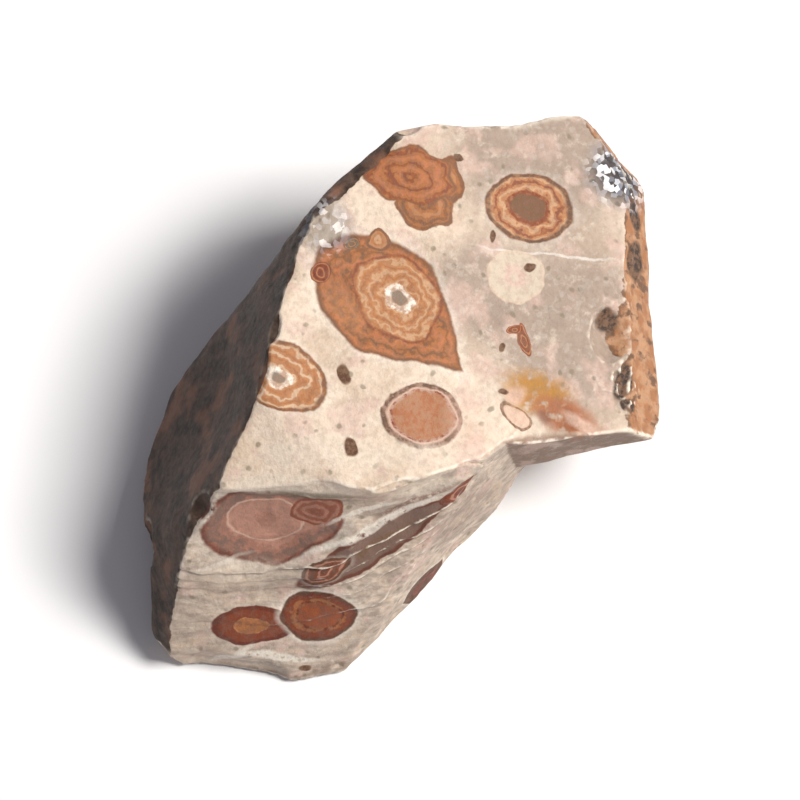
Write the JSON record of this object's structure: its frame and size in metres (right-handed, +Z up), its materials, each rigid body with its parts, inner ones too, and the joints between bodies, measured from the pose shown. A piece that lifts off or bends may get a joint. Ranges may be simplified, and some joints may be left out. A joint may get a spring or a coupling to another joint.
{
  "type": "rough leopardite stone",
  "caption": "Hand-broken lump of spotted rhyolite: a flat face with ringed rosettes, a thin overhanging corner, a stepped sloping foot and a flat spot to rest on.",
  "frame": {"origin": "middle of the stone's bounding box, on the floor that it rests on", "axes": "+Z up, spotted face up; +Y from the low sloping foot to the high end, along the stone's longest extent; +X to the stained rim"},
  "size_m": [0.0452, 0.0468, 0.023],
  "materials": {
    "spotted_rhyolite": "broken, dull to slightly waxy, cream ground with orange-brown ringed rosettes, a grey-brown weathered west side and an ochre stained east rim"
  },
  "bodies": {
    "root": {"stone": "spotted_rhyolite"}
  },
  "joints": []
}
